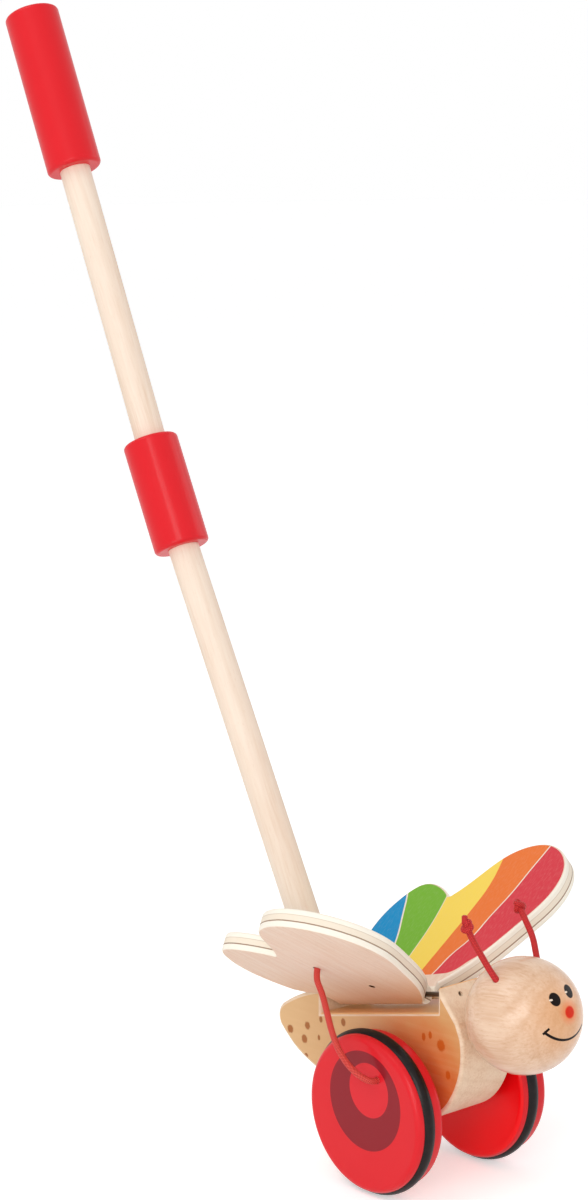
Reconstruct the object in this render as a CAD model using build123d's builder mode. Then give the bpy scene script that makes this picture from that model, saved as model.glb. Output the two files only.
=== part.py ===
"""A toddler's wooden push toy: a butterfly on two wheels at the end of a push pole.

The butterfly's body is one slab of beech. Two plywood wings are hinged in a slot across
its back, and a stiff cord joins each wing to an off-centre hole in its wheel, so that the
wings beat when the toy is pushed. A ball head with two cord antennae sits on the front,
and a two-piece pole with a red sleeve and a red grip rises from the tail.

Millimetres. The origin is on the floor midway between the wheels, straight below the axle.
+X is the toy's left, -Y is forward, +Z is up.
"""

import math
import os

from build123d import *

# Wheels and tyres
wheel_diameter = 75.0
wheel_thickness = 16.5
wheel_shoulder = 3.2
rim_land = 0.15
tyre_width = 6.6
tyre_seat_depth = 1.5
tyre_proud = 1.8
tyre_edge_proud = 0.1
hub_diameter = 16.0
hub_length = 7.85

# Axle and washers
axle_diameter = 5.0
axle_end_cover = 4.0
washer_diameter = 14.0
washer_thickness = 1.0

# Body block
body_width = 34.0
body_length = 130.0
body_height = 68.7
body_below_axle = 8.0
axle_setback = 39.3
body_edge_round = 1.6
notch_front_share = 0.1277
notch_rear_share = 0.7408
notch_slope = 13.5
rear_lip_round = 2.0
tail_round = 8.0

# Wings
wing_thickness = 9.0
wing_span = 98.7
wing_chord = 111.8
wing_front_reach = 14.65
wing_rise = 32.0
wing_edge_round = 1.2
lobe_corner_round = 1.0
root_setback = 18.6
root_rear_gap = 2.4
root_tongue_length = 14.5
cord_hole_outward = 46.8
cord_hole_rearward = 44.15
cord_hole_depth = 5.6
dimple_diameter = 3.0
dimple_outward = 22.6
dimple_rearward = 30.8
dimple_depth = 3.0

# Hinges
root_gap = 2.0
root_floor_gap = 1.9
root_sink = 0.6
pin_diameter = 2.5
pin_front_bite = 2.4
pin_rear_bite = 4.2

# Head and neck
head_diameter = 54.0
head_seat_flat = 0.5
neck_tilt = 23.3
neck_seat_half = 4.0
neck_dowel_diameter = 8.0
neck_dowel_depth = 12.0

# Pole, sleeve and grip
pole_diameter = 16.0
pole_foot_share = 0.3435
pole_pin_wall = 0.6
lower_pole_lean = 27.66
upper_pole_lean = 24.05
sleeve_along = 286.5
sleeve_length = 59.0
sleeve_web = 4.0
grip_diameter = 28.6
grip_round = 2.0
grip_start = 179.0
grip_length = 88.6
grip_bore_depth = 60.0

# Cords and knots
cord_diameter = 3.0
cord_sink = 5.4
cord_drop = 3.6
cord_curve_share = 0.45
wheel_cord_forward = 9.5
wheel_cord_up = 19.2
wheel_cord_straight = 3.85
knot_diameter = 6.8
knot_length = 6.0
knot_round = 2.4
knot_tail_length = 5.0

# Fits, gaps and the overrun of every cut
press_gap = 0.02
running_gap = 0.08
cord_gap = 0.15
side_play = 0.3
bore_end_gap = 0.3
overrun = 40.0

# Worked out from the sizes above
wheel_radius = wheel_diameter / 2
tyre_radius = wheel_radius + tyre_proud
tyre_shift = wheel_thickness / 2 - wheel_shoulder - rim_land - tyre_width / 2
axle_height = tyre_radius
axle_radius = axle_diameter / 2
body_side_x = body_width / 2
washer_inner_x = body_side_x + side_play
hub_face_x = washer_inner_x + washer_thickness
wheel_inner_x = hub_face_x + hub_length
half_track = wheel_inner_x + wheel_thickness / 2
wheel_outer_x = wheel_inner_x + wheel_thickness
axle_end_x = wheel_outer_x - axle_end_cover
pole_radius = pole_diameter / 2
cord_radius = cord_diameter / 2
head_radius = head_diameter / 2
slope = math.radians(notch_slope)
rise = math.radians(wing_rise)
neck_angle = math.radians(neck_tilt)
lower_lean = math.radians(lower_pole_lean)
upper_lean = math.radians(upper_pole_lean)
body_front_y = -axle_setback
body_bottom_z = axle_height - body_below_axle
body_top_z = body_bottom_z + body_height
root_radius = wing_thickness / 2
hinge_spread = root_radius + root_gap / 2
hinge_height = root_radius + root_floor_gap
notch_front_y = body_front_y + notch_front_share * body_length
notch_rear_y = body_front_y + notch_rear_share * body_length
notch_length = notch_rear_y - notch_front_y
notch_depth = hinge_height + root_radius + root_sink

# Distances along a hinge axis, rearward from where it leaves the notch's front corner
front_wall_along = -hinge_height * math.tan(slope)
rear_wall_along = front_wall_along + notch_length / math.cos(slope)
pin_front_along = front_wall_along - pin_front_bite
pin_rear_along = rear_wall_along + pin_rear_bite
root_rear_along = rear_wall_along - root_rear_gap

# The body's outline, as shares of its length from the front and of its height
lower_outline_shares = [(0.886, 0.237), (0.779, 0.144), (0.41, 0.0), (0.095, 0.147), (0.025, 0.346), (0.0, 0.54)]
tail_corner_share = (1.014, 0.446)
rump_share = (0.864, 0.635)
neck_seat_share = (0.0173, 0.744)

# The wing's outline, as shares of its span from the hinge and of its chord from the front
fore_lobe_shares = [
    (0.245, 0.126), (0.41, 0.057), (0.588, 0.0), (0.778, 0.018), (0.929, 0.123),
    (1.0, 0.282), (0.935, 0.453), (0.784, 0.546), (0.632, 0.640),
]
hind_lobe_shares = [
    (0.632, 0.640), (0.718, 0.753), (0.738, 0.881), (0.625, 0.966), (0.475, 1.0),
    (0.32, 0.987), (0.195, 0.945),
]

# A wing cord between its two straight ends, as shares of the way down. Each point has
# its bulge outward from the straight line, its way forward and its way down.
wing_cord_shares = [
    (0.0143, 0.150, 0.167), (0.0565, 0.283, 0.345), (0.0964, 0.407, 0.523),
    (0.1126, 0.534, 0.691), (0.1066, 0.695, 0.839), (0.0745, 0.873, 0.942),
]

# The antennae, as shares of the head's radius from its centre: left, back and up
right_antenna_shares = [
    (-0.615, -0.070, 0.614), (-0.681, 0.134, 0.862), (-0.737, 0.312, 1.129),
    (-0.804, 0.471, 1.396), (-0.852, 0.538, 1.581),
]
left_antenna_shares = [
    (0.467, 0.101, 0.655), (0.559, 0.264, 0.914), (0.622, 0.401, 1.166),
    (0.652, 0.593, 1.388), (0.667, 0.719, 1.544),
]
right_antenna_tail = (0.1, 0.1, 1.0)
left_antenna_tail = (-0.75, 0.45, 0.5)

os.makedirs("parts", exist_ok=True)


def save(solid, label):
    """Names a finished piece and writes it under that name."""
    solid.label = label
    export_step(solid, f"parts/{label}.step")


def side_name(side):
    """The toy's left is +X and its right is -X."""
    return "left" if side > 0 else "right"


def body_point(share):
    """A point of the side profile, as (y, z), from its shares of length and height."""
    return Vector(body_front_y + share[0] * body_length, body_bottom_z + share[1] * body_height)


def wing_point(share):
    """A point of the wing's outline, as (outward, rearward), from its shares."""
    return (share[0] * wing_span, share[1] * wing_chord - wing_front_reach)


# Directions and reference points that several pieces share
floor_front = Vector(0, notch_front_y, body_top_z - notch_depth)
floor_along = Vector(0, math.cos(slope), -math.sin(slope))
floor_up = Vector(0, math.sin(slope), math.cos(slope))
neck_seat_yz = body_point(neck_seat_share)
neck_seat = Vector(0, neck_seat_yz.X, neck_seat_yz.Y)
neck_inward = Vector(0, math.cos(neck_angle), -math.sin(neck_angle))
head_center = neck_seat - neck_inward * (head_radius - head_seat_flat)
lower_direction = Vector(0, math.sin(lower_lean), math.cos(lower_lean))
upper_direction = Vector(0, math.sin(upper_lean), math.cos(upper_lean))
sleeve_direction = (lower_direction + upper_direction).normalized()
pins_end = floor_front + floor_up * hinge_height + floor_along * pin_rear_along
pole_foot_z = body_bottom_z + pole_foot_share * body_height
pole_at_pins_y = pins_end.Y + (pole_radius + pole_pin_wall) / math.cos(lower_lean)
pole_foot = Vector(0, pole_at_pins_y - (pins_end.Z - pole_foot_z) * math.tan(lower_lean), pole_foot_z)
sleeve_center = pole_foot + lower_direction * sleeve_along
lower_pole_plane = Plane(origin=pole_foot, x_dir=(1, 0, 0), z_dir=lower_direction)
upper_pole_plane = Plane(origin=sleeve_center, x_dir=(1, 0, 0), z_dir=upper_direction)
sleeve_plane = Plane(origin=sleeve_center, x_dir=(1, 0, 0), z_dir=sleeve_direction)
neck_plane = Plane(origin=neck_seat, x_dir=(1, 0, 0), z_dir=neck_inward)


def hinge_origin(side):
    """Where a hinge axis leaves the notch's front corner."""
    return floor_front + floor_up * hinge_height + Vector(side * hinge_spread, 0, 0)


def pin_plane(side, start):
    """Square to a hinge axis, at a distance along it from the front."""
    return Plane(origin=hinge_origin(side) + floor_along * start, x_dir=(1, 0, 0), z_dir=floor_along)


def wing_plane(side):
    """The middle plane of a wing: outward along the raised wing, then rearward."""
    outward = Vector(side * math.cos(rise), 0, 0) + floor_up * math.sin(rise)
    return Plane(origin=hinge_origin(side), x_dir=outward, z_dir=outward.cross(floor_along))


def wheel_plane(side):
    """A wheel's radial section: outward along the axle, then up."""
    return Plane(origin=(side * half_track, 0, axle_height), x_dir=(side, 0, 0), z_dir=(0, -side, 0))


def across_plane(x):
    """Square to the axle, through its middle, at a distance from the toy's middle."""
    return Plane(origin=(x, 0, axle_height), x_dir=(0, 1, 0), z_dir=(1, 0, 0))


def build_body():
    """The body slab, with its notch, axle bore, pole socket, pin holes and neck hole."""
    floor_front_z = body_top_z - notch_depth
    floor_rear_z = floor_front_z - notch_length * math.tan(slope)
    front_lip = Vector(notch_front_y, body_top_z)
    rear_lip = Vector(notch_rear_y, floor_rear_z + notch_depth)
    seat_direction = Vector(math.sin(neck_angle), math.cos(neck_angle))
    neck_low = neck_seat_yz - seat_direction * neck_seat_half
    neck_high = neck_seat_yz + seat_direction * neck_seat_half
    tail_corner = body_point(tail_corner_share)
    with BuildPart() as body:
        with BuildSketch(Plane.YZ) as profile:
            with BuildLine():
                Polyline(
                    neck_low,
                    neck_high,
                    front_lip,
                    (notch_front_y, floor_front_z),
                    (notch_rear_y, floor_rear_z),
                    rear_lip,
                )
                ThreePointArc(rear_lip, body_point(rump_share), tail_corner)
                lower_points = [body_point(share) for share in lower_outline_shares]
                Spline(
                    tail_corner, *lower_points, neck_low,
                    tangents=[
                        (lower_points[0] - tail_corner).normalized(),
                        (seat_direction + Vector(0, 1)).normalized(),
                    ],
                    tangent_scalars=[1, 1],
                )
            make_face()
            fillet(profile.vertices().sort_by_distance(rear_lip)[0], rear_lip_round)
            fillet(profile.vertices().sort_by_distance(tail_corner)[0], tail_round)
        extrude(amount=body_side_x, both=True)
        fillet(body.faces().filter_by(Axis.X).edges(), body_edge_round)
        with BuildSketch(across_plane(0)):
            Circle(axle_radius + running_gap)
        extrude(amount=overrun, both=True, mode=Mode.SUBTRACT)
        with BuildSketch(lower_pole_plane):
            Circle(pole_radius + press_gap)
        extrude(amount=overrun, mode=Mode.SUBTRACT)
        with BuildSketch(neck_plane.offset(neck_dowel_depth + bore_end_gap)):
            Circle(neck_dowel_diameter / 2 + press_gap)
        extrude(amount=-overrun, mode=Mode.SUBTRACT)
        for side in (-1, 1):
            with BuildSketch(pin_plane(side, pin_rear_along)):
                Circle(pin_diameter / 2 + press_gap)
            extrude(amount=-(pin_rear_along + overrun), mode=Mode.SUBTRACT)
    save(body.part, "body_block")


def build_wing(side):
    """One plywood wing with two lobes, a rounded root on its pin and a blind cord hole.

    It is made lying flat with the hinge axis along Y, and then set in its place.
    """
    top = side
    under = Plane.XY.offset(-top * wing_thickness / 2)
    root_start = Plane(origin=(0, root_setback, 0), z_dir=(0, 1, 0))
    with BuildPart() as wing:
        with BuildSketch():
            with BuildLine():
                fore_edge = [(0, root_setback)] + [wing_point(share) for share in fore_lobe_shares]
                hind_edge = [wing_point(share) for share in hind_lobe_shares]
                Spline(*fore_edge)
                Spline(*hind_edge)
                Polyline(
                    hind_edge[-1],
                    (root_tongue_length, (root_rear_along + hind_edge[-1][1]) / 2),
                    (root_tongue_length, root_rear_along),
                    (0, root_rear_along),
                    (0, root_setback),
                )
            face = make_face()
            fillet(face.vertices().sort_by_distance(hind_edge[0])[0], lobe_corner_round)
        extrude(amount=wing_thickness / 2, both=True)
        board_faces = wing.faces().sort_by(Axis.Z)
        rim = board_faces[0].edges() + board_faces[-1].edges()
        fillet([edge for edge in rim if edge.center().X > wing_edge_round], wing_edge_round)
        with BuildSketch(root_start):
            Circle(root_radius)
        extrude(amount=root_rear_along - root_setback)
        with BuildSketch(root_start):
            Circle(pin_diameter / 2 + running_gap)
        extrude(amount=overrun + root_rear_along, both=True, mode=Mode.SUBTRACT)
        with BuildSketch(under):
            with Locations((cord_hole_outward, cord_hole_rearward)):
                Circle(cord_radius + cord_gap)
        extrude(amount=top * cord_hole_depth, mode=Mode.SUBTRACT)
        with BuildSketch(under):
            with Locations((dimple_outward, dimple_rearward)):
                Circle(dimple_diameter / 2)
        extrude(amount=top * dimple_depth, mode=Mode.SUBTRACT)
    save(wing.part.moved(wing_plane(side).location), f"wing_{side_name(side)}")


def build_hinge_pin(side):
    """A steel pin, driven in from the front through the wing's root."""
    with BuildPart() as pin:
        with BuildSketch(pin_plane(side, pin_front_along)):
            Circle(pin_diameter / 2)
        extrude(amount=pin_rear_along - bore_end_gap - pin_front_along)
    save(pin.part, f"hinge_pin_{side_name(side)}")


def build_wheel(side):
    """A turned wheel with a hub, a seat for its tyre, a blind axle bore and a cord hole."""
    half = wheel_thickness / 2
    tyre_middle = -side * tyre_shift
    seat_radius = wheel_radius - tyre_seat_depth
    hub_reach = half + hub_length
    with BuildPart() as wheel:
        with BuildSketch(wheel_plane(side)) as section:
            with BuildLine():
                Polyline(
                    (-hub_reach, 0),
                    (half, 0),
                    (half, wheel_radius),
                    (tyre_middle + tyre_width / 2, wheel_radius),
                    (tyre_middle + tyre_width / 2, seat_radius),
                    (tyre_middle - tyre_width / 2, seat_radius),
                    (tyre_middle - tyre_width / 2, wheel_radius),
                    (-half, wheel_radius),
                    (-half, hub_diameter / 2),
                    (-hub_reach, hub_diameter / 2),
                    close=True,
                )
            make_face()
            rim_corners = [(half, wheel_radius, 0), (-half, wheel_radius, 0)]
            fillet([section.vertices().sort_by_distance(corner)[0] for corner in rim_corners], wheel_shoulder)
        revolve(axis=Axis((0, 0, axle_height), (1, 0, 0)))
        with BuildSketch(across_plane(side * axle_end_x)):
            Circle(axle_radius + press_gap)
        extrude(amount=-side * overrun, mode=Mode.SUBTRACT)
        with BuildSketch(across_plane(0)):
            with Locations((-wheel_cord_forward, wheel_cord_up)):
                Circle(cord_radius + cord_gap)
        extrude(amount=side * (wheel_outer_x + overrun), mode=Mode.SUBTRACT)
    save(wheel.part, f"wheel_{side_name(side)}")


def build_tyre(side):
    """A rubber band with a domed tread, seated in the wheel's rim nearer the toy's right."""
    middle = -side * tyre_shift
    seat_radius = wheel_radius - tyre_seat_depth + press_gap
    half = tyre_width / 2 - press_gap
    edge_radius = wheel_radius + tyre_edge_proud
    with BuildPart() as tyre:
        with BuildSketch(wheel_plane(side)):
            with BuildLine():
                Polyline(
                    (middle - half, edge_radius),
                    (middle - half, seat_radius),
                    (middle + half, seat_radius),
                    (middle + half, edge_radius),
                )
                ThreePointArc((middle + half, edge_radius), (middle, tyre_radius), (middle - half, edge_radius))
            make_face()
        revolve(axis=Axis((0, 0, axle_height), (1, 0, 0)))
    save(tyre.part, f"tyre_{side_name(side)}")


def build_axle():
    """The steel axle, pressed into both wheels and turning in the body."""
    with BuildPart() as axle:
        with BuildSketch(across_plane(0)):
            Circle(axle_radius)
        extrude(amount=axle_end_x - bore_end_gap, both=True)
    save(axle.part, "axle")


def build_washer(side):
    """A steel washer between a hub and the body's side."""
    with BuildPart() as washer:
        with BuildSketch(across_plane(side * washer_inner_x)):
            Circle(washer_diameter / 2)
            Circle(axle_radius + press_gap, mode=Mode.SUBTRACT)
        extrude(amount=side * washer_thickness)
    save(washer.part, f"axle_washer_{side_name(side)}")


def antenna_route(shares):
    """The middle line of an antenna, from inside the head to its knot."""
    return [head_center + Vector(*share) * head_radius for share in shares]


def build_head():
    """The ball head, flattened where it seats, with a neck hole and two antenna holes."""
    with BuildPart() as head:
        with Locations(head_center):
            Sphere(head_radius)
        split(bisect_by=neck_plane, keep=Keep.BOTTOM)
        with BuildSketch(neck_plane):
            Circle(neck_dowel_diameter / 2 + press_gap)
        extrude(amount=-(neck_dowel_depth + bore_end_gap), mode=Mode.SUBTRACT)
        for shares in (right_antenna_shares, left_antenna_shares):
            start, after = antenna_route(shares)[:2]
            with BuildSketch(Plane(origin=start, z_dir=after - start)):
                Circle(cord_radius + cord_gap)
            extrude(amount=overrun, mode=Mode.SUBTRACT)
    save(head.part, "head_ball")


def build_neck():
    """The glued dowel that holds the head on the body."""
    with BuildPart() as neck:
        with BuildSketch(neck_plane):
            Circle(neck_dowel_diameter / 2)
        extrude(amount=neck_dowel_depth, both=True)
    save(neck.part, "neck_dowel")


def build_poles():
    """The lower and upper pole, the sleeve that joins them and the grip on top."""
    with BuildPart() as lower:
        with BuildSketch(lower_pole_plane):
            Circle(pole_radius)
        extrude(amount=sleeve_along - sleeve_web / 2)
    save(lower.part, "lower_pole")

    with BuildPart() as upper:
        with BuildSketch(upper_pole_plane.offset(sleeve_web / 2)):
            Circle(pole_radius)
        extrude(amount=grip_start + grip_bore_depth - bore_end_gap - sleeve_web / 2)
    save(upper.part, "upper_pole")

    with BuildPart() as sleeve:
        with BuildSketch(sleeve_plane):
            Circle(grip_diameter / 2)
        extrude(amount=sleeve_length / 2, both=True)
        fillet(sleeve.edges(), grip_round)
        with BuildSketch(lower_pole_plane.offset(sleeve_along - sleeve_web / 2)):
            Circle(pole_radius + press_gap)
        extrude(amount=-overrun, mode=Mode.SUBTRACT)
        with BuildSketch(upper_pole_plane.offset(sleeve_web / 2)):
            Circle(pole_radius + press_gap)
        extrude(amount=overrun, mode=Mode.SUBTRACT)
    save(sleeve.part, "pole_sleeve")

    with BuildPart() as grip:
        with BuildSketch(upper_pole_plane.offset(grip_start)):
            Circle(grip_diameter / 2)
        extrude(amount=grip_length)
        fillet(grip.edges(), grip_round)
        with BuildSketch(upper_pole_plane.offset(grip_start)):
            Circle(pole_radius + press_gap)
        extrude(amount=grip_bore_depth, mode=Mode.SUBTRACT)
    save(grip.part, "handle_grip")


def corner_radii(points):
    """The arc at each corner of a route, which takes a share of the shorter run beside it."""
    radii = []
    for before, corner, after in zip(points, points[1:], points[2:]):
        turn = (corner - before).get_angle(after - corner)
        shorter = min((corner - before).length, (after - corner).length)
        radii.append(cord_curve_share * shorter / math.tan(math.radians(turn / 2)))
    return radii


def build_cord(route, label):
    """A round cord along straight runs joined by tangent arcs."""
    radii = corner_radii(route)
    with BuildPart() as cord:
        with BuildLine():
            path = FilletPolyline(*route, radius=radii)
        with BuildSketch(Plane(origin=path @ 0, z_dir=path % 0)):
            Circle(cord_radius)
        sweep()
    expected = math.pi * cord_radius**2 * path.length
    print(label, "length", round(path.length, 1), "arc radii", [round(radius, 1) for radius in radii])
    print(label, "volume over section times length", round(cord.part.volume / expected, 4))
    save(cord.part, label)


def wing_cord_route(side):
    """The middle line of a wing cord, from inside the wing's hole to the wheel's face."""
    plane = wing_plane(side)
    down = plane.z_dir * -side
    mouth = plane.from_local_coords(Vector(cord_hole_outward, cord_hole_rearward, 0)) + down * root_radius
    top = mouth + down * cord_drop
    wheel_hole = Vector(side * (wheel_outer_x + bore_end_gap), -wheel_cord_forward, axle_height + wheel_cord_up)
    low = wheel_hole + Vector(side * (wheel_cord_straight - bore_end_gap), 0, 0)
    way = low - top
    between = [
        Vector(
            top.X + way.X * down_share - side * way.Z * bulge_share,
            top.Y + way.Y * forward_share,
            top.Z + way.Z * down_share,
        )
        for bulge_share, forward_share, down_share in wing_cord_shares
    ]
    return [mouth - down * cord_sink, top, *between, low, wheel_hole]


def build_knot(end, direction, tail_direction, label):
    """A pulled-tight overhand knot, as the barrel that it fills, and its cut tail."""
    knot_plane = Plane(origin=end, z_dir=direction)
    middle = end + direction.normalized() * (knot_length / 2)
    with BuildPart() as knot:
        with BuildSketch(knot_plane):
            Circle(knot_diameter / 2)
        extrude(amount=knot_length)
        fillet(knot.edges(), knot_round)
        with BuildSketch(Plane(origin=middle, z_dir=tail_direction)):
            Circle(cord_radius)
        extrude(amount=knot_length / 2 + knot_tail_length)
    save(knot.part, label)


def build_antenna(shares, tail, name):
    """A short cord that stands out of the head, with a knot near its end."""
    route = antenna_route(shares)
    build_cord(route, f"antenna_cord_{name}")
    build_knot(route[-1], route[-1] - route[-2], Vector(*tail), f"antenna_knot_{name}")


def build_wheel_cord_end(side):
    """The cord's lower end through the wheel, and the knot that stops it inside."""
    name = side_name(side)
    with BuildPart() as stub:
        with BuildSketch(across_plane(side * wheel_inner_x)):
            with Locations((-wheel_cord_forward, wheel_cord_up)):
                Circle(cord_radius)
        extrude(amount=side * wheel_thickness)
    save(stub.part, f"wheel_cord_end_{name}")
    end = Vector(side * wheel_inner_x, -wheel_cord_forward, axle_height + wheel_cord_up)
    with BuildPart() as knot:
        with BuildSketch(Plane(origin=end, z_dir=(-side, 0, 0))):
            Circle(knot_diameter / 2)
        extrude(amount=knot_length)
        fillet(knot.edges(), knot_round)
    save(knot.part, f"wheel_cord_knot_{name}")


build_body()
build_head()
build_neck()
build_poles()
build_axle()
for side in (-1, 1):
    build_wing(side)
    build_hinge_pin(side)
    build_wheel(side)
    build_tyre(side)
    build_washer(side)
    build_cord(wing_cord_route(side), f"wing_cord_{side_name(side)}")
    build_wheel_cord_end(side)
build_antenna(right_antenna_shares, right_antenna_tail, "right")
build_antenna(left_antenna_shares, left_antenna_tail, "left")
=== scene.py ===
"""The looks of the wooden butterfly push toy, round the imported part. Metres, in the part's frame."""

import math

import bpy
from mathutils import Matrix, Vector


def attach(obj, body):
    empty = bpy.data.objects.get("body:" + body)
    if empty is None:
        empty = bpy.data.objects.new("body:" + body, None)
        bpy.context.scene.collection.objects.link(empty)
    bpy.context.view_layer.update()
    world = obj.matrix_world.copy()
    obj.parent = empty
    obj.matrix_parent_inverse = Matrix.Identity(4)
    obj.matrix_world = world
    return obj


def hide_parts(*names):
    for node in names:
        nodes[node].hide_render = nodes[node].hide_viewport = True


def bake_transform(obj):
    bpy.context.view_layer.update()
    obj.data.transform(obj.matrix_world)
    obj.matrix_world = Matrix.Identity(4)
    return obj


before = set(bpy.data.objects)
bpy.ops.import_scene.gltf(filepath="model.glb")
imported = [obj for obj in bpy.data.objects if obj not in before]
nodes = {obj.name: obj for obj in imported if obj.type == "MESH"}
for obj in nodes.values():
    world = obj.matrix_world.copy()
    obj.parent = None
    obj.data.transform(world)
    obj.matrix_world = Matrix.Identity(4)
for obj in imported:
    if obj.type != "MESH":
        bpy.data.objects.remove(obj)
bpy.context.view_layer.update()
scene = bpy.context.scene
mm = 0.001

# Places, sizes and slopes of the part, in millimetres and radians
axle_height = 39.3
wheel_outer_x = 42.65
wheel_inner_x = 26.15
body_length = 130.0
notch_front_y = -22.7
notch_rear_y = 57.0
head_centre = (0, -61.39, 92.89)
head_radius = 27.0
hinge_origin = (5.5, -21.2, 94.72)
wing_rise = math.radians(32.0)
floor_slope = math.radians(13.5)
pole_lean = math.radians(26.0)

# A printed flat ends where the cosine between its own direction and a surface's normal falls below this
flat_cosine = 0.9985

# The blind holes under a wing, as distance outward and rearward of its hinge and radius
under_holes = ((22.6, 30.8, 1.6), (46.8, 44.15, 1.8))
under_hole_top = 3.5

# Camera, fitted to the photograph
camera_azimuth = math.radians(-41.94)
camera_elevation = math.radians(9.26)
camera_place = (-881.71, -885.88, 480.76)
camera_lens = 82.23
camera_sensor = 36.0

# Light, in metres and watts: the highlight on the head gives the key lamp's direction
sky_strength = 0.60
floor_glow = 0.42
floor_shade = 0.94
floor_half = 20.0
floor_drop = 0.0001
lamp_target = (0, 0.06, 0.12)
lamps = {
    "key": {"place": (-1.55, -1.30, 1.15), "power": 11.0, "size": 1.0},
    "low": {"place": (-1.60, -0.70, 0.25), "power": 5.0, "size": 0.8},
    "top": {"place": (-1.00, 0.30, 1.90), "power": 8.0, "size": 1.2},
    "side": {"place": (1.70, -0.60, 0.80), "power": 4.5, "size": 1.2},
}

# Cords, in millimetres: the lines that they follow, and how their knots end
cord_radius = 1.5
cord_sides = 20
right_antenna = [
    (-16.6, -63.3, 109.5), (-18.4, -57.8, 116.2), (-19.9, -53.0, 123.4),
    (-21.7, -48.7, 130.6), (-23.1, -46.7, 136.4),
]
left_antenna = [
    (12.6, -58.7, 110.6), (15.1, -54.3, 117.6), (16.8, -50.6, 124.4),
    (17.6, -45.4, 130.4), (18.1, -40.9, 136.0),
]
right_antenna_end = {"tail": (0.1, 0.1, 1.0), "tail_length": 3.2, "knot_sink": 3.2}
left_antenna_end = {"tail": (-0.75, 0.45, 0.5), "tail_length": 1.6, "knot_sink": 2.2}
wheel_cord_y = -9.5
wheel_cord_z = 58.5
wheel_knot_end = {"tail": (0.2, -0.5, 0.85), "tail_length": 0.6}
right_wing_cord = [
    (-44.71, 27.69, 109.27), (-49.48, 25.91, 101.85), (-49.6, 20.6, 94.6), (-50.9, 15.9, 86.9),
    (-52.1, 11.5, 79.2), (-52.3, 7.0, 71.9), (-51.6, 1.3, 65.5), (-49.9, -5.0, 61.0),
    (-46.5, wheel_cord_y, wheel_cord_z), (-43.3, wheel_cord_y, wheel_cord_z),
]

# An overhand knot, in millimetres: the cord comes in along +Z, wraps once and leaves on top
knot_scale = 0.88
knot_strand_radius = 1.35
knot_points = [
    (0.0, 0.0, -1.2), (0.0, 0.0, 0.6), (0.1, 0.0, 2.6), (0.6, 0.1, 4.8), (1.9, 0.6, 5.2),
    (2.3, 1.6, 3.9), (0.6, 2.3, 3.3), (-1.7, 1.7, 2.7), (-2.3, -0.4, 2.0), (-1.1, -2.1, 1.5),
    (1.2, -2.1, 1.7), (2.2, -0.5, 2.4), (1.2, 0.9, 3.6), (-0.3, 0.6, 5.0),
]

# Dots on the body's sides, as (y, z, half width, half height): brown at the tail, orange in front
brown_dots = [
    (79.1, 56.0, 2.1, 2.0), (66.7, 60.7, 1.8, 1.9), (68.8, 53.4, 2.0, 2.1), (57.0, 66.1, 1.2, 1.6),
    (58.4, 56.6, 0.9, 1.4), (67.5, 45.3, 1.3, 1.2), (41.1, 68.5, 1.6, 1.9),
]
orange_dots = [
    (-13.8, 74.8, 1.2, 1.9), (-18.1, 76.7, 1.1, 1.9), (-25.2, 73.3, 2.6, 2.7), (-30.0, 60.2, 1.5, 2.1),
]

# The front edges of a wing's stripes, as (outward, rearward) distance from the hinge's front end,
# and the edge near the root where all of them begin, as (rearward, outward). All are shares of the span.
wing_span = 110.0
orange_edge_shares = [
    (0.0, 0.26), (0.07, 0.236), (0.17, 0.214), (0.28, 0.166), (0.42, 0.146), (0.56, 0.121),
    (0.72, 0.109), (0.87, 0.096), (1.0, 0.09),
]
yellow_edge_shares = [
    (0.0, 0.33), (0.1, 0.325), (0.3, 0.31), (0.46, 0.3), (0.61, 0.3), (0.78, 0.336), (1.0, 0.42),
]
green_edge_shares = [(0.0, 0.47), (0.2, 0.478), (0.37, 0.491), (0.55, 0.527), (0.8, 0.6), (1.0, 0.68)]
blue_edge_shares = [(0.0, 0.55), (0.28, 0.646), (0.45, 0.734), (0.59, 0.811), (0.8, 0.95), (1.0, 1.0)]
root_edge_shares = [
    (0.0, 0.19), (0.06, 0.145), (0.13, 0.07), (0.2, 0.055), (0.5, 0.06), (0.8, 0.075), (1.0, 0.09),
]


def paint(red, green, blue):
    """A colour as a screen shows it, from 0 to 255, in the shader's own scale."""
    def linear(value):
        share = value / 255
        return share / 12.92 if share <= 0.04045 else ((share + 0.055) / 1.055) ** 2.4
    return (linear(red), linear(green), linear(blue), 1.0)


def metres(point):
    return Vector(point) * mm


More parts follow.
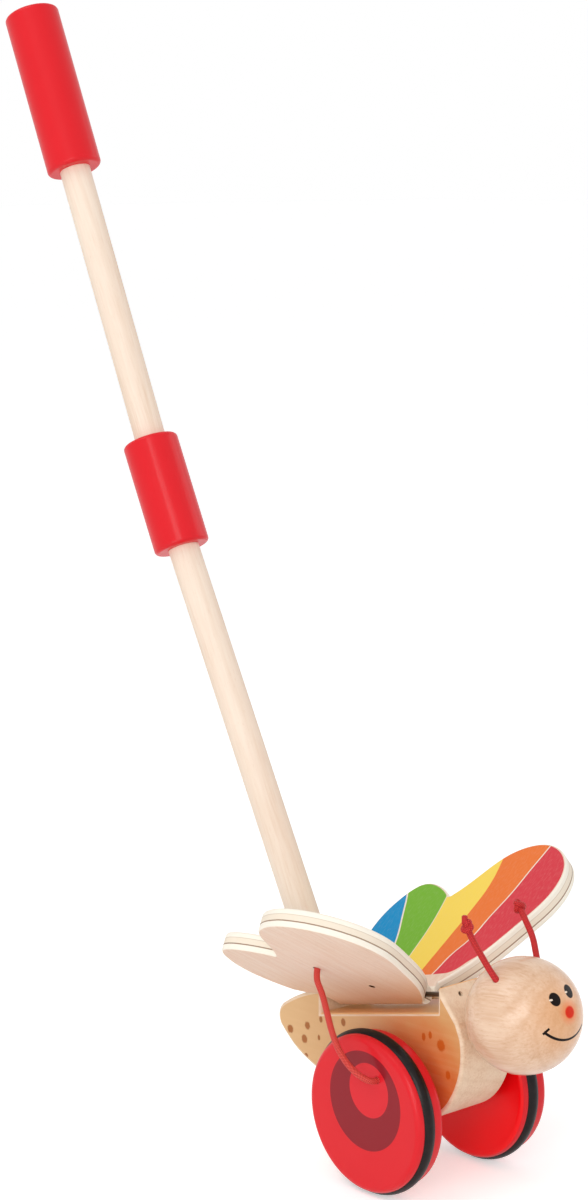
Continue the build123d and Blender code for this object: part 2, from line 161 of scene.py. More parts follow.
class Finish:
    """A material and short ways to add nodes to it. Lengths in its nodes are millimetres."""

    def __init__(self, name, roughness, gloss=0.25):
        self.material = bpy.data.materials.new(name)
        self.material.use_nodes = True
        self.tree = self.material.node_tree
        self.shader = self.tree.nodes["Principled BSDF"]
        self.shader.inputs["Roughness"].default_value = roughness
        self.shader.inputs["Specular IOR Level"].default_value = gloss
        coordinates = self.add("ShaderNodeTexCoord")
        self.normal = coordinates.outputs["Normal"]
        self.uv = coordinates.outputs["UV"]
        self.place = self.stretch(coordinates.outputs["Object"], (1000, 1000, 1000))

    def add(self, kind, **settings):
        node = self.tree.nodes.new(kind)
        for name, value in settings.items():
            setattr(node, name, value)
        return node

    def plug(self, socket, value):
        """Joins a socket to another node's output, or sets its own value."""
        if isinstance(value, bpy.types.NodeSocket):
            self.tree.links.new(value, socket)
        else:
            socket.default_value = value

    def math(self, operation, *values):
        node = self.add("ShaderNodeMath", operation=operation)
        for socket, value in zip(node.inputs, values):
            self.plug(socket, value)
        return node.outputs[0]

    def times(self, value, factor):
        return self.math("MULTIPLY", value, factor)

    def most(self, *masks):
        result = masks[0]
        for mask in masks[1:]:
            result = self.math("MAXIMUM", result, mask)
        return result

    def both(self, *masks):
        result = masks[0]
        for mask in masks[1:]:
            result = self.math("MULTIPLY", result, mask)
        return result

    def vector(self, operation, first, second):
        node = self.add("ShaderNodeVectorMath", operation=operation)
        self.plug(node.inputs[0], first)
        self.plug(node.inputs[1], second)
        gives_a_number = operation in ("DOT_PRODUCT", "DISTANCE", "LENGTH")
        return node.outputs["Value" if gives_a_number else "Vector"]

    def dot(self, vector, direction):
        return self.vector("DOT_PRODUCT", vector, tuple(direction))

    def length(self, vector):
        return self.vector("LENGTH", vector, (0, 0, 0))

    def stretch(self, vector, scales):
        return self.vector("MULTIPLY", vector, scales)

    def split(self, vector):
        node = self.add("ShaderNodeSeparateXYZ")
        self.plug(node.inputs[0], vector)
        return node.outputs[0], node.outputs[1], node.outputs[2]

    def join(self, x, y, z):
        node = self.add("ShaderNodeCombineXYZ")
        for socket, value in zip(node.inputs, (x, y, z)):
            self.plug(socket, value)
        return node.outputs[0]

    def noise(self, vector, scale=1.0, detail=3.0, roughness=0.5, distortion=0.0):
        node = self.add("ShaderNodeTexNoise")
        self.plug(node.inputs["Vector"], vector)
        node.inputs["Scale"].default_value = scale
        node.inputs["Detail"].default_value = detail
        node.inputs["Roughness"].default_value = roughness
        node.inputs["Distortion"].default_value = distortion
        return node.outputs[0]

    def above(self, value, edge, soft=0.1):
        """Rises from 0 to 1 as the value passes the edge."""
        node = self.add("ShaderNodeMapRange", interpolation_type="SMOOTHSTEP")
        self.plug(node.inputs["Value"], value)
        node.inputs["From Min"].default_value = edge - soft / 2
        node.inputs["From Max"].default_value = edge + soft / 2
        return node.outputs["Result"]

    def below(self, value, edge, soft=0.1):
        return self.math("SUBTRACT", 1.0, self.above(value, edge, soft))

    def near(self, value, level, half_width, soft):
        """1 where the value lies within half a width of the level."""
        return self.below(self.math("ABSOLUTE", self.math("SUBTRACT", value, level)), half_width, soft)

    def mix(self, share, under, over):
        node = self.add("ShaderNodeMix", data_type="RGBA")
        self.plug(node.inputs[0], share)
        self.plug(node.inputs[6], under)
        self.plug(node.inputs[7], over)
        return node.outputs[2]

    def ramp(self, value, *stops):
        node = self.add("ShaderNodeValToRGB")
        self.plug(node.inputs[0], value)
        elements = node.color_ramp.elements
        while len(elements) < len(stops):
            elements.new(0.5)
        for element, (position, colour) in zip(elements, stops):
            element.position = position
            element.color = colour
        return node.outputs[0]

    def curve(self, value, points):
        """A smooth function through given points, each with both numbers from 0 to 1."""
        node = self.add("ShaderNodeFloatCurve")
        self.plug(node.inputs["Value"], value)
        line = node.mapping.curves[0]
        while len(line.points) < len(points):
            line.points.new(0.5, 0.5)
        for point, place in zip(line.points, points):
            point.location = place
        node.mapping.update()
        return node.outputs[0]

    def bump(self, height, depth):
        """The height runs from 0 to 1, and the depth is in millimetres."""
        node = self.add("ShaderNodeBump")
        node.inputs["Strength"].default_value = 1.0
        node.inputs["Distance"].default_value = depth * mm
        self.plug(node.inputs["Height"], height)
        self.plug(self.shader.inputs["Normal"], node.outputs[0])

    def colour(self, value):
        self.plug(self.shader.inputs["Base Color"], value)

    def coat(self, weight, roughness):
        self.shader.inputs["Coat Weight"].default_value = weight
        self.shader.inputs["Coat Roughness"].default_value = roughness


def grain(finish, along, pale, mid, dark, ring_direction, ring_pitch, ring_strength, pith=None):
    """Beech: fine streaks along the grain, growth rings across it or round a pith, and brown flecks."""
    along = Vector(along).normalized()
    side = Vector(ring_direction)
    side = (side - along * side.dot(along)).normalized()
    third = along.cross(side)
    place = finish.join(
        finish.dot(finish.place, along), finish.dot(finish.place, side), finish.dot(finish.place, third)
    )

    def stretched(lengthways, crossways):
        return finish.stretch(place, (lengthways, crossways, crossways))

    # Growth rings, at a depth across the board or from the pith
    depth = finish.dot(finish.place, side)
    if pith:
        from_pith = finish.vector("SUBTRACT", finish.place, pith)
        depth = finish.length(finish.join(finish.dot(from_pith, side), finish.dot(from_pith, third), 0.0))
    bend = finish.times(finish.noise(stretched(0.012, 0.05), detail=2.0), 9.0)
    turns = finish.times(finish.math("ADD", depth, bend), math.tau / ring_pitch)
    rings = finish.math("MULTIPLY_ADD", finish.math("SINE", turns), 0.5, 0.5)
    late_wood = finish.math("POWER", rings, 3.0)

    # Streaks, broad bands and flecks
    streaks = finish.noise(stretched(0.045, 0.9), detail=5.0, roughness=0.62)
    broad = finish.noise(stretched(0.010, 0.085), detail=2.0, distortion=0.6)
    flecks = finish.above(finish.noise(stretched(0.32, 1.9), detail=1.0), 0.69, 0.05)
    tone = finish.math("ADD", finish.times(streaks, 0.55), finish.times(broad, 0.45))
    wood = finish.ramp(tone, (0.32, pale), (0.52, mid), (0.74, dark))
    wood = finish.mix(finish.times(late_wood, ring_strength * 0.45), wood, dark)
    wood = finish.mix(finish.times(flecks, 0.28), wood, dark)
    height = finish.math("SUBTRACT", streaks, finish.times(flecks, 0.3))
    return wood, height


def notch_painted_shade(finish, wood):
    """Painted shade in the notch under the wings: a warmer, darker floor and a browner front wall."""
    margin = 0.3
    wall_reach = 1.0
    y = finish.split(finish.place)[1]
    _, normal_y, normal_z = finish.split(finish.normal)
    inside = finish.both(finish.above(y, notch_front_y - margin), finish.below(y, notch_rear_y + margin))
    floor = finish.both(inside, finish.above(normal_z, 0.5))
    shaded_wall = finish.both(inside, finish.below(y, notch_front_y + wall_reach), finish.above(normal_y, 0.9))
    # Painted shade: the notch floor darker and warmer and its front wall browner, where the wings shade them
    wood = finish.mix(floor, wood, paint(236, 184, 130))
    return finish.mix(shaded_wall, wood, paint(190, 138, 94))


def dots_mask(finish, flat_place, dots):
    """Ragged ovals, from the distance to the nearest centre as a share of that oval's size."""
    nearest = None
    for y, z, half_width, half_height in dots:
        offset = finish.vector("SUBTRACT", flat_place, (0, y, z))
        reach = finish.length(finish.stretch(offset, (0, 1 / half_width, 1 / half_height)))
        nearest = reach if nearest is None else finish.math("MINIMUM", nearest, reach)
    unevenness = finish.math("MULTIPLY_ADD", finish.noise(finish.place, scale=0.9), 0.5, -0.25)
    return finish.below(finish.math("ADD", nearest, unevenness), 1.0, 0.5)


def body_print(finish):
    """The flat sides' colours: tan, orange round the wheel and low in front, veins and dots."""
    _, y, z = finish.split(finish.place)
    flat_place = finish.join(0.0, y, z)

    # Tan, a little paler from the front to the tail
    along_body = finish.math("MULTIPLY_ADD", y, 1 / body_length, 0.3)
    ground = finish.ramp(along_body, (0.1, paint(218, 166, 108)), (0.9, paint(222, 180, 130)))

    # Airbrushed patches, as centre, reach, softness, strength and colour
    mottle = finish.noise(finish.place, scale=0.08, detail=4.0, roughness=0.6)
    wander = finish.math("MULTIPLY_ADD", mottle, 18.0, -9.0)
    patches = [
        ((0, -13.0, 50.0), 33.0, 32.0, 0.85, paint(224, 126, 64)),
        ((0, -22.0, 46.0), 17.0, 16.0, 0.6, paint(208, 100, 42)),
    ]
    for centre, reach, soft, strength, colour in patches:
        distance = finish.math("ADD", finish.vector("DISTANCE", flat_place, centre), wander)
        ground = finish.mix(finish.times(finish.below(distance, reach, soft), strength), ground, colour)

    # Long pale veins, then the dots
    vein_noise = finish.noise(finish.stretch(finish.join(y, 0.0, z), (0.03, 0, 0.4)), detail=4.0)
    veins = finish.above(vein_noise, 0.55, 0.35)
    ground = finish.mix(finish.times(veins, 0.10), ground, paint(244, 208, 160))
    for dots, colour in ((brown_dots, paint(160, 88, 24)), (orange_dots, paint(204, 92, 18))):
        mask = dots_mask(finish, flat_place, dots)
        ground = finish.mix(finish.times(mask, 0.92), ground, colour)
    return ground


def body_material():
    """Beech with both flat sides airbrushed from tan to orange and dotted."""
    finish = Finish("beech_body_printed", 0.45)
    finish.coat(0.08, 0.28)
    wood, height = grain(
        finish, along=(0, 1, -0.1), ring_direction=(0.3, 0, 1), ring_pitch=6.5, ring_strength=0.5,
        pale=paint(243, 220, 194), mid=paint(236, 208, 179), dark=paint(214, 174, 138),
    )
    # Painted shade in the notch under the wings
    wood = notch_painted_shade(finish, wood)
    normal_x = finish.split(finish.normal)[0]
    flat_side = finish.above(finish.math("ABSOLUTE", normal_x), flat_cosine, 0.001)
    finish.colour(finish.mix(flat_side, wood, body_print(finish)))
    finish.bump(height, 0.03)
    return finish.material


def direction_of(azimuth, elevation):
    """A direction from the head's centre: azimuth from straight ahead towards the toy's left."""
    azimuth = math.radians(azimuth)
    elevation = math.radians(elevation)
    level = math.cos(elevation)
    return Vector((math.sin(azimuth) * level, -math.cos(azimuth) * level, math.sin(elevation)))


def circle_through(first, second, third):
    """The centre and radius of the circle through three flat points."""
    (ax, ay), (bx, by), (cx, cy) = first, second, third
    twice = 2 * (ax * (by - cy) + bx * (cy - ay) + cx * (ay - by))
    a2 = ax * ax + ay * ay
    b2 = bx * bx + by * by
    c2 = cx * cx + cy * cy
    x = (a2 * (by - cy) + b2 * (cy - ay) + c2 * (ay - by)) / twice
    y = (a2 * (cx - bx) + b2 * (ax - cx) + c2 * (bx - ax)) / twice
    return x, y, math.hypot(ax - x, ay - y)


def stroke(finish, place, start, end, half_width):
    """A mask for a short straight stroke between two points of a flat drawing."""
    run = Vector((end[0] - start[0], end[1] - start[1], 0))
    from_start = finish.vector("SUBTRACT", place, (*start, 0))
    along = finish.dot(from_start, run.normalized())
    aside = finish.dot(from_start, run.normalized().cross(Vector((0, 0, 1))))
    thin = finish.near(aside, 0.0, half_width, 0.15)
    return finish.both(thin, finish.above(along, 0.0, 0.2), finish.below(along, run.length, 0.2))


def head_material():
    """Turned beech with a printed face: two eyes, a nose and a smile. The ink lies matt on varnish."""
    varnish = 0.8
    face_start = 4.0
    pen_half_width = 0.58
    black = paint(18, 8, 6)
    finish = Finish("beech_head_face", 0.4, gloss=0.12)
    finish.coat(varnish, 0.2)
    wood, height = grain(
        finish, along=(0.15, -1, 0.1), ring_direction=(1, 0, 0), ring_pitch=5.2, ring_strength=0.55,
        pale=paint(237, 207, 180), mid=paint(227, 190, 160), dark=paint(202, 152, 114), pith=(-1, -61, 88),
    )

    # The face is drawn on a flat sheet square to this direction, and thrown onto the ball's front
    ahead = direction_of(1, 10)
    right = Vector((-ahead.y, ahead.x, 0)).normalized()
    up = ahead.cross(right)
    from_centre = finish.vector("SUBTRACT", finish.place, head_centre)
    across = finish.dot(from_centre, right)
    upward = finish.dot(from_centre, up)
    face_place = finish.join(across, upward, 0.0)
    facing = finish.above(finish.dot(from_centre, ahead), face_start, 1.0)

    def on_face(azimuth, elevation):
        reach = direction_of(azimuth, elevation) * head_radius
        return reach.dot(right), reach.dot(up)

    def oval(centre, half_width, half_height, soft):
        offset = finish.vector("SUBTRACT", face_place, (*centre, 0))
        reach = finish.length(finish.stretch(offset, (1 / half_width, 1 / half_height, 0)))
        return finish.both(finish.below(reach, 1.0, soft), facing)

    # The nose, in an orange blush
    nose = on_face(5.2, 15.4)
    blush = oval((nose[0], nose[1] - 1.5), 18.0, 16.0, 1.3)
    skin = finish.mix(finish.times(blush, 0.62), wood, paint(228, 158, 94))
    skin = finish.mix(finish.times(oval(nose, 5.2, 4.8, 0.9), 0.7), skin, paint(240, 128, 62))
    ink = oval(nose, 3.1, 2.8, 0.4)
    skin = finish.mix(ink, skin, paint(222, 44, 14))

    # The eyes, each with a pale glint at its side
    for eye in (on_face(-10.4, 30.6), on_face(16.0, 34.0)):
        pupil = oval(eye, 2.9, 3.0, 0.12)
        glint = oval((eye[0] - 2.2, eye[1] + 0.1), 0.95, 0.45, 0.3)
        skin = finish.mix(pupil, skin, black)
        skin = finish.mix(glint, skin, paint(240, 220, 200))
        ink = finish.most(ink, pupil)

    # The smile is an arc through three points, with a short stroke across its right end
    first = on_face(-27.0, 1.0)
    middle = on_face(1.0, -10.7)
    last = on_face(29.3, -2.9)
    centre_x, centre_y, arc_radius = circle_through(first, middle, last)
    from_arc_centre = finish.vector("DISTANCE", face_place, (centre_x, centre_y, 0))
    on_arc = finish.near(from_arc_centre, arc_radius, pen_half_width, 0.2)
    within = finish.both(finish.above(across, first[0], 0.2), finish.below(across, last[0], 0.2))
    smile = finish.both(on_arc, within, finish.below(upward, centre_y, 0.2), facing)
    tick_line = stroke(finish, face_place, on_face(-28.5, -1.0), on_face(-21.8, 4.2), pen_half_width)
    tick = finish.both(tick_line, facing)
    skin = finish.mix(smile, skin, black)
    skin = finish.mix(tick, skin, black)

    ink = finish.most(ink, smile, tick)
    bare_varnish = finish.math("MULTIPLY_ADD", ink, -varnish, varnish)
    finish.plug(finish.shader.inputs["Coat Weight"], bare_varnish)
    finish.colour(skin)
    finish.bump(height, 0.025)
    return finish.material


def pole_material():
    """Pale beech rod with its grain along the pole."""
    finish = Finish("beech_pole", 0.45)
    wood, height = grain(
        finish, along=(0, math.sin(pole_lean), math.cos(pole_lean)), ring_direction=(1, 0, 0),
        pale=paint(247, 230, 212), mid=paint(243, 222, 203), dark=paint(230, 202, 176),
        ring_pitch=6.0, ring_strength=0.36,
    )
    finish.colour(wood)
    finish.bump(height, 0.025)
    return finish.material


def wing_places(finish):
    """A place on either wing as outward, rearward and upward of its hinge, and its face's upward tilt."""
    x, y, z = finish.split(finish.place)
    from_hinge = finish.vector("SUBTRACT", finish.join(finish.math("ABSOLUTE", x), y, z), hinge_origin)
    rear = Vector((0, math.cos(floor_slope), -math.sin(floor_slope)))
    floor_up = Vector((0, math.sin(floor_slope), math.cos(floor_slope)))
    outward = Vector((math.cos(wing_rise), 0, 0)) + floor_up * math.sin(wing_rise)
    upward = floor_up * math.cos(wing_rise) - Vector((math.sin(wing_rise), 0, 0))
    place = finish.join(
        finish.dot(from_hinge, outward), finish.dot(from_hinge, rear), finish.dot(from_hinge, upward)
    )

    # The face's own normal, with the toy's right half mirrored onto its left
    normal_x, normal_y, normal_z = finish.split(finish.normal)
    mirrored_x = finish.times(normal_x, finish.math("SIGN", x))
    tilt = finish.dot(finish.join(mirrored_x, normal_y, normal_z), upward)
    return place, tilt


def wing_veneer(finish, place, tilt):
    """Bare veneer with its grain from the root to the tip, with painted shade, warmer and darker, under the
    root near the body.
    """
    outward, rearward, _ = finish.split(place)
    streaks = finish.noise(finish.stretch(place, (0.035, 0.55, 0.4)), detail=4.0, roughness=0.6)
    veneer = finish.ramp(
        streaks, (0.3, paint(244, 222, 204)), (0.5, paint(241, 215, 194)), (0.72, paint(235, 204, 180))
    )
    fine = finish.noise(finish.stretch(place, (0.35, 2.4, 0.4)), detail=1.0, roughness=0.6)
    pores = finish.above(fine, 0.68, 0.05)
    veneer = finish.mix(finish.times(pores, 0.22), veneer, paint(180, 138, 105))
    # Painted shade under the wing's root near the body, strongest towards the front
    shade_strength = finish.math("MULTIPLY_ADD", finish.below(rearward, 30.0, 80.0), 0.35, 0.5)
    root_painted_shade = finish.both(finish.below(outward, 24.0, 56.0), finish.below(tilt, 0.0, 0.2), shade_strength)
    veneer = finish.mix(root_painted_shade, veneer, paint(228, 168, 110))
    return veneer, finish.math("SUBTRACT", streaks, finish.times(pores, 0.4))


def wing_rim(finish, place):
    """The rim's two outer plies, its darker core and the glue between them."""
    low_glue = -1.5
    high_glue = 1.6
    outward, rearward, upward = finish.split(place)
    cloud = finish.noise(finish.stretch(place, (0.5, 0.5, 3.0)), detail=3.0)
    rim = finish.mix(finish.times(cloud, 0.4), paint(255, 250, 238), paint(242, 222, 196))
    core = finish.both(finish.above(upward, low_glue, 0.2), finish.below(upward, high_glue, 0.2))
    rim = finish.mix(finish.times(core, 0.35), rim, paint(226, 200, 168))

    # Glue lines, as level, half width, strength and colour
    lines = [
        (low_glue, 0.30, 0.85, paint(140, 100, 70)),
        (high_glue, 0.18, 0.38, paint(178, 146, 112)),
    ]
    unevenness = finish.noise(finish.join(outward, rearward, 0.0), scale=0.12)
    for level, half_width, strength, colour in lines:
        wavy_level = finish.math("MULTIPLY_ADD", unevenness, 0.3, level - 0.15)
        line = finish.near(upward, wavy_level, half_width, 0.2)
        rim = finish.mix(finish.times(line, strength), rim, colour)
    return rim


def wing_stripes(finish, place):
    """The five printed stripes and the bare lines between them, and a mask of where they lie."""
    bare = paint(250, 236, 218)
    out_share, rear_share, _ = finish.split(finish.stretch(place, (1 / wing_span, 1 / wing_span, 0)))

    # Each stripe behind the front one, as its front edge, colour and half the bare line before it
    stripes = [
        (orange_edge_shares, paint(241, 124, 58), 0.42),
        (yellow_edge_shares, paint(255, 222, 96), 0.0),
        (green_edge_shares, paint(122, 184, 54), 0.25),
        (blue_edge_shares, paint(20, 146, 205), 0.55),
    ]
    colour = paint(219, 64, 76)
    for edge, stripe_colour, half_gap in stripes:
        behind_edge = finish.math("SUBTRACT", rear_share, finish.curve(out_share, edge))
        offset = finish.times(behind_edge, wing_span)
        colour = finish.mix(finish.above(offset, 0.0, 0.15), colour, stripe_colour)
        if half_gap:
            colour = finish.mix(finish.near(offset, 0.0, half_gap, 0.2), colour, bare)
    speckle = finish.above(finish.noise(finish.stretch(place, (0.3, 1.4, 0)), detail=4.0), 0.58, 0.25)
    colour = finish.mix(finish.times(speckle, 0.06), colour, bare)
    from_root_edge = finish.math("SUBTRACT", out_share, finish.curve(rear_share, root_edge_shares))
    return colour, finish.above(from_root_edge, 0.0, 0.004)


def wing_material():
    """Plywood: stripes on the flat top, plies and glue lines on the rim, plain veneer below."""
    finish = Finish("plywood_wing_striped", 0.45, gloss=0.05)
    place, tilt = wing_places(finish)
    outward, rearward, upward = finish.split(place)
    veneer, height = wing_veneer(finish, place, tilt)
    flat = finish.above(finish.math("ABSOLUTE", tilt), 0.9, 0.1)
    colour = finish.mix(flat, wing_rim(finish, place), veneer)

    # Painted shade inside the blind holes
    hole_painted_shade = 0.0
    flat_place = finish.join(outward, rearward, 0.0)
    for hole_outward, hole_rearward, radius in under_holes:
        reach = finish.vector("DISTANCE", flat_place, (hole_outward, hole_rearward, 0))
        hole_painted_shade = finish.most(hole_painted_shade, finish.below(reach, radius, 0.15))
    hole_painted_shade = finish.both(hole_painted_shade, finish.below(upward, under_hole_top, 0.2))
    colour = finish.mix(hole_painted_shade, colour, paint(84, 44, 26))

    stripes, past_root = wing_stripes(finish, place)
    top = finish.above(tilt, flat_cosine, 0.001)
    finish.colour(finish.mix(finish.both(top, past_root), colour, stripes))
    finish.bump(height, 0.02)
    return finish.material


def lacquer(name, colour, deep):
    """Red lacquer on turned wood, with soft clouds and an orange-peel bump."""
    finish = Finish(name, 0.4, gloss=0.1)
    finish.coat(0.28, 0.17)
    cloud = finish.noise(finish.place, scale=0.05, detail=3.0)
    peel = finish.noise(finish.place, scale=0.55, detail=2.0)
    finish.bump(peel, 0.02)
    return finish, finish.mix(finish.times(cloud, 0.5), colour, deep)


def grip_material():
    finish, colour = lacquer("red_lacquer_turned", paint(226, 28, 38), paint(214, 18, 30))
    finish.colour(colour)
    return finish.material


def wheel_material():
    """Red lacquer with two off-centre circles printed on the outer face, and a brighter, purer red on the
    inner face as painted light.
    """
    finish, colour = lacquer("red_lacquer_wheel", paint(226, 30, 40), paint(216, 20, 32))
    outer_margin = 0.6
    inner_margin = 1.0
    x, y, z = finish.split(finish.place)
    outward = finish.math("ABSOLUTE", x)
    outer_face = finish.above(outward, wheel_outer_x - outer_margin, 0.3)
    inner_painted_light = finish.below(outward, wheel_inner_x + inner_margin, 0.5)

    # Circles, as distance in front of and above the axle, radius and colour
    circles = [
        (1.2, 7.0, 23.7, paint(143, 16, 30)),
        (3.8, 12.7, 13.0, paint(224, 32, 44)),
    ]
    for forward, up, radius, circle_colour in circles:
        reach = finish.vector("DISTANCE", finish.join(0.0, y, z), (0, -forward, axle_height + up))
        circle = finish.both(outer_face, finish.below(reach, radius, 0.35))
        colour = finish.mix(circle, colour, circle_colour)
    # Painted light: the inner faces, which lie in the body's shade, get a brighter, purer red
    finish.colour(finish.mix(inner_painted_light, colour, paint(252, 8, 18)))
    return finish.material


def rubber_material():
    finish = Finish("tyre_rubber_black", 0.45, gloss=0.12)
    finish.coat(0.2, 0.15)
    cloud = finish.noise(finish.place, scale=0.4, detail=4.0)
    finish.colour(finish.ramp(cloud, (0.3, paint(14, 8, 9)), (0.7, paint(28, 18, 18))))
    finish.bump(finish.noise(finish.place, scale=3.0, detail=3.0), 0.03)
    return finish.material


def steel_material():
    """Dull steel, darkened and browned partly as painted shade for the pins seen in the shaded notch, with
    fine lines that run across the toy and so along its axle.
    """
    finish = Finish("steel_drawn", 0.28)
    finish.shader.inputs["Metallic"].default_value = 1.0
    drawn = finish.noise(finish.stretch(finish.place, (0.2, 4.0, 4.0)), detail=3.0)
    # Dark brownish steel: partly its own dull tone, partly painted shade for the pins in the notch
    finish.colour(finish.ramp(drawn, (0.3, paint(104, 94, 84)), (0.7, paint(128, 118, 108))))
    finish.bump(drawn, 0.01)
    return finish.material


def cord_material(name, dark, mid, light):
    """Red braided cord. Its U runs round the cord from 0 to 1 and its V along it in millimetres."""
    strands_round = 8.0
    strands_per_mm = 1.15
    finish = Finish(name, 0.5, gloss=0.25)
    u, v, _ = finish.split(finish.uv)
    round_cord = finish.times(u, strands_round)
    along_cord = finish.times(v, strands_per_mm)

    def strand(direction):
        phase = finish.math("ADD", round_cord, finish.times(along_cord, direction))
        return finish.math("ABSOLUTE", finish.math("SINE", finish.times(phase, math.pi)))

    weave = finish.times(strand(1.0), strand(-1.0))
    fuzz = finish.noise(finish.place, scale=2.2, detail=3.0)
    height = finish.math("ADD", finish.times(weave, 0.8), finish.times(fuzz, 0.2))
    # The weave's grooves darker and its crests lighter: painted shade and painted highlight on the braid
    finish.colour(finish.ramp(height, (0.1, dark), (0.45, mid), (0.8, light)))
    finish.bump(height, 0.12)
    return finish.material


def spline_line(name, points):
    """The places along a smooth line that has these millimetre points as its control points."""
    curve = bpy.data.curves.new(name, "CURVE")
    curve.dimensions = "3D"
    curve.resolution_u = 12
    spline = curve.splines.new("NURBS")
    spline.points.add(len(points) - 1)
    for control, point in zip(spline.points, points):
        control.co = (*metres(point), 1.0)
    spline.order_u = 3
    spline.use_endpoint_u = True
    holder = bpy.data.objects.new(name, curve)
    scene.collection.objects.link(holder)
    line_mesh = bpy.data.meshes.new_from_object(holder)
    line = [vertex.co.copy() for vertex in line_mesh.vertices]
    bpy.data.objects.remove(holder)
    bpy.data.meshes.remove(line_mesh)
    return line


def tube_rings(line, radius):
    """The rings of a round cord along a line, as centre, share of the radius and direction."""
    dome_share = 0.6
    dome_reach = 0.35
    rings = []
    for i, centre in enumerate(line):
        before = line[max(i - 1, 0)]
        after = line[min(i + 1, len(line) - 1)]
        rings.append((centre, 1.0, (after - before).normalized()))
    first_direction = rings[0][2]
    last_direction = rings[-1][2]
    rings.insert(0, (line[0] - first_direction * radius * dome_reach, dome_share, first_direction))
    rings.append((line[-1] + last_direction * radius * dome_reach, dome_share, last_direction))
    return rings


def tube(name, lines, material, radius=cord_radius):
    """A mesh of round cords with domed ends, one along each line."""
    vertices = []
    faces = []
    coordinates = []
    radius = radius * mm
    row = cord_sides + 1
    for line in lines:
        first = len(vertices)
        rings = tube_rings(line, radius)
        side = rings[0][2].orthogonal().normalized()
        length = 0.0
        for k, (centre, share, direction) in enumerate(rings):
            side = (side - direction * side.dot(direction)).normalized()
            other = direction.cross(side)
            if k:
                length += (centre - rings[k - 1][0]).length / mm
            for j in range(row):
                angle = math.tau * j / cord_sides
                spoke = side * math.cos(angle) + other * math.sin(angle)
                vertices.append(centre + spoke * radius * share)
                coordinates.append((j / cord_sides, length))
        for k in range(len(rings) - 1):
            for j in range(cord_sides):
                corner = first + k * row + j
                faces.append((corner, corner + 1, corner + row + 1, corner + row))
        last = first + (len(rings) - 1) * row
        faces.append(tuple(reversed(range(first, first + cord_sides))))
        faces.append(tuple(range(last, last + cord_sides)))

    mesh = bpy.data.meshes.new(name)
    mesh.from_pydata(vertices, [], faces)
    layer = mesh.uv_layers.new(name="UVMap")
    for loop in mesh.loops:
        layer.data[loop.index].uv = coordinates[loop.vertex_index]
    for polygon in mesh.polygons:
        polygon.use_smooth = len(polygon.vertices) == 4
    mesh.materials.append(material)
    piece = bpy.data.objects.new(name, mesh)
    scene.collection.objects.link(piece)
    return piece


def knot_line(name, end, direction, tail_direction, tail_length):
    """An overhand knot on a cord that comes in at its end along a direction, with its cut tail."""
    direction = Vector(direction).normalized()
    tail_direction = Vector(tail_direction).normalized()
    side = (tail_direction - direction * tail_direction.dot(direction)).normalized()
    turned = Matrix((side, direction.cross(side), direction)).transposed()
    wrapped = [Vector(end) + turned @ (Vector(point) * knot_scale) for point in knot_points]
    tail = [wrapped[-1] + tail_direction * tail_length * share for share in (0.35, 1.0)]
    return spline_line(name, [*wrapped, *tail])


def mirrored(points):
    return [(-x, y, z) for x, y, z in points]


def make_antenna(name, route, end, material):
    """A short stiff cord in the head, and the overhand knot near its end."""
    line = spline_line(f"antenna_line_{name}", route)
    cord = tube(f"antenna_{name}", [line], material)
    run = (Vector(route[-1]) - Vector(route[-2])).normalized()
    start = Vector(route[-1]) - run * end["knot_sink"]
    knot_route = knot_line(f"knot_line_{name}", start, run, end["tail"], end["tail_length"])
    knot = tube(f"antenna_{name}_knot", [knot_route], material, knot_strand_radius)
    for piece, node in ((cord, f"antenna_cord_{name}"), (knot, f"antenna_knot_{name}")):
        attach(piece, "frame")
        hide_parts(node)


def make_wing_cord(name, side, material):
    """The cord from a wing's hole to its wheel, as one mesh."""
    route = right_wing_cord if side < 0 else mirrored(right_wing_cord)
    line = spline_line(f"wing_cord_line_{name}", route)
    cord = tube(f"wing_pull_{name}", [line], material)
    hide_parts(f"wing_cord_{name}")
    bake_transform(cord)


def make_wheel_cord(name, side, material):
    """The cord's end through the wheel, and its stopping knot on the inner face."""
    outer = (side * wheel_outer_x, wheel_cord_y, wheel_cord_z)
    inner = (side * wheel_inner_x, wheel_cord_y, wheel_cord_z)
    middle = tuple(Vector(outer).lerp(Vector(inner), 0.5))
    through = spline_line(f"wheel_cord_line_{name}", [outer, middle, inner])
    tail_x, tail_y, tail_z = wheel_knot_end["tail"]
    knot = knot_line(
        f"wheel_knot_line_{name}", inner, (-side, 0, 0), (-side * tail_x, tail_y, tail_z),
        wheel_knot_end["tail_length"],
    )
    piece = tube(f"wheel_cord_{name}", [through, knot], material)
    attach(piece, "wheelset")
    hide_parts(f"wheel_cord_end_{name}", f"wheel_cord_knot_{name}")


def aim_camera():
    camera = bpy.data.cameras.new("photo_camera")
    camera.sensor_width = camera_sensor
    camera.lens = camera_lens
    camera.clip_start = 0.05
    camera.clip_end = 50.0
    holder = bpy.data.objects.new("photo_camera", camera)
    scene.collection.objects.link(holder)
    level = math.cos(camera_elevation)
    back = Vector((
        math.sin(camera_azimuth) * level, -math.cos(camera_azimuth) * level, math.sin(camera_elevation)
    ))
    right = Vector((math.cos(camera_azimuth), math.sin(camera_azimuth), 0))
    turned = Matrix((right, back.cross(right), back)).transposed()
    holder.matrix_world = Matrix.Translation(metres(camera_place)) @ turned.to_4x4()
    scene.camera = holder


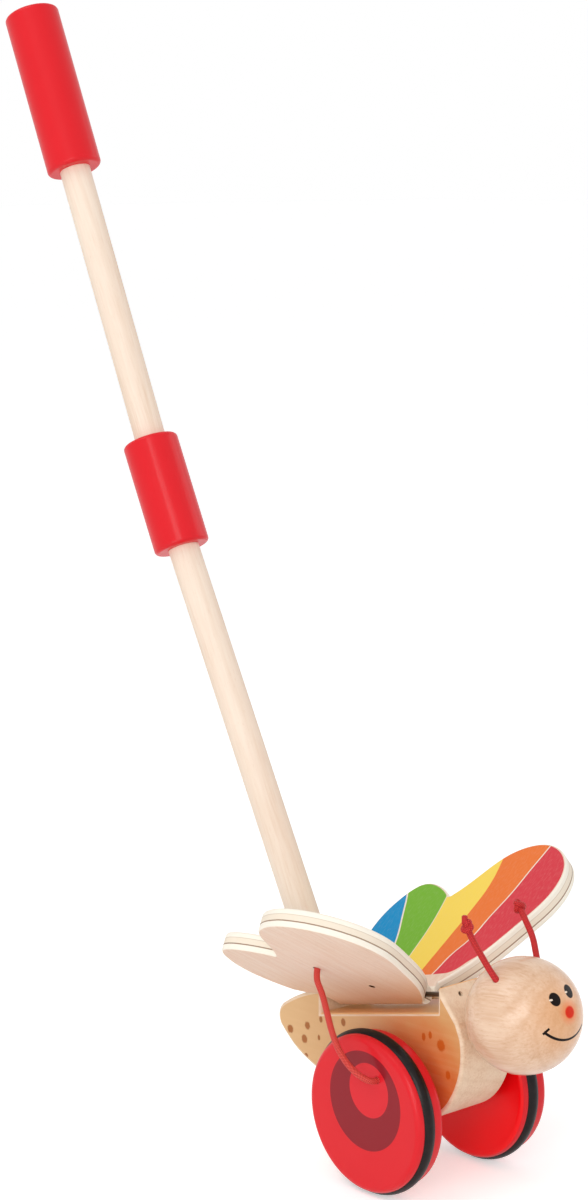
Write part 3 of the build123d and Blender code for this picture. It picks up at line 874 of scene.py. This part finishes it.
def seen_directly(tree):
    """1 for rays from the camera, a mirror or glass, which see the plain white background."""
    path = tree.nodes.new("ShaderNodeLightPath")
    result = path.outputs["Is Camera Ray"]
    for name in ("Is Glossy Ray", "Is Transmission Ray"):
        most = tree.nodes.new("ShaderNodeMath")
        most.operation = "MAXIMUM"
        tree.links.new(result, most.inputs[0])
        tree.links.new(path.outputs[name], most.inputs[1])
        result = most.outputs[0]
    return result


def make_sky():
    """A white sky that lights the toy softly and is seen as plain white."""
    world = bpy.data.worlds.new("white_sky")
    world.use_nodes = True
    scene.world = world
    tree = world.node_tree
    background = tree.nodes["Background"]
    background.inputs["Color"].default_value = (1, 1, 1, 1)
    level = tree.nodes.new("ShaderNodeMapRange")
    tree.links.new(seen_directly(tree), level.inputs["Value"])
    level.inputs["To Min"].default_value = sky_strength
    level.inputs["To Max"].default_value = 1.0
    tree.links.new(level.outputs["Result"], background.inputs["Strength"])


def make_lamps():
    target = Vector(lamp_target)
    for name, facts in lamps.items():
        lamp = bpy.data.lights.new(name, "AREA")
        lamp.energy = facts["power"]
        lamp.size = facts["size"]
        holder = bpy.data.objects.new(name, lamp)
        scene.collection.objects.link(holder)
        holder.location = facts["place"]
        holder.rotation_euler = (target - Vector(facts["place"])).to_track_quat("-Z", "Y").to_euler()


def make_floor():
    """A pale floor that is nearly as white as the sky and keeps the toy's shadow."""
    corners = [(-1, -1), (1, -1), (1, 1), (-1, 1)]
    mesh = bpy.data.meshes.new("floor")
    mesh.from_pydata([(x * floor_half, y * floor_half, 0) for x, y in corners], [], [(0, 1, 2, 3)])
    floor = bpy.data.objects.new("floor", mesh)
    floor.location.z = -floor_drop
    scene.collection.objects.link(floor)
    material = bpy.data.materials.new("pale_floor")
    material.use_nodes = True
    tree = material.node_tree
    shader = tree.nodes["Principled BSDF"]
    shader.inputs["Base Color"].default_value = (floor_shade, floor_shade, floor_shade, 1)
    shader.inputs["Roughness"].default_value = 0.9
    shader.inputs["Specular IOR Level"].default_value = 0.1
    shader.inputs["Emission Color"].default_value = (1, 1, 1, 1)
    glow = tree.nodes.new("ShaderNodeMath")
    glow.operation = "MULTIPLY"
    tree.links.new(seen_directly(tree), glow.inputs[0])
    glow.inputs[1].default_value = floor_glow
    tree.links.new(glow.outputs[0], shader.inputs["Emission Strength"])
    mesh.materials.append(material)


scene.view_settings.view_transform = "Standard"
aim_camera()
make_sky()
make_lamps()
make_floor()

cord_finish = cord_material(
    "red_cord_braided", dark=paint(150, 22, 26), mid=paint(222, 58, 54), light=paint(244, 108, 92)
)
antenna_finish = cord_material(
    "antenna_cord_braided", dark=paint(128, 12, 20), mid=paint(204, 32, 38), light=paint(226, 64, 58)
)
make_antenna("right", right_antenna, right_antenna_end, antenna_finish)
make_antenna("left", left_antenna, left_antenna_end, antenna_finish)
for name, side in (("right", -1), ("left", 1)):
    make_wing_cord(name, side, cord_finish)
    make_wheel_cord(name, side, cord_finish)

finishes = {
    body_material(): ["body_block"],
    head_material(): ["head_ball", "neck_dowel"],
    pole_material(): ["lower_pole", "upper_pole"],
    wing_material(): ["wing_right", "wing_left"],
    grip_material(): ["pole_sleeve", "handle_grip"],
    wheel_material(): ["wheel_right", "wheel_left"],
    rubber_material(): ["tyre_right", "tyre_left"],
    steel_material(): ["axle", "axle_washer_right", "axle_washer_left", "hinge_pin_right", "hinge_pin_left"],
    antenna_finish: [name for name in nodes if "antenna" in name],
    cord_finish: [name for name in nodes if "wing_cord" in name or "wheel_cord" in name],
}
for finish, names in finishes.items():
    for name in names:
        for material_slot in nodes[name].material_slots:
            material_slot.link = "OBJECT"
            material_slot.material = finish
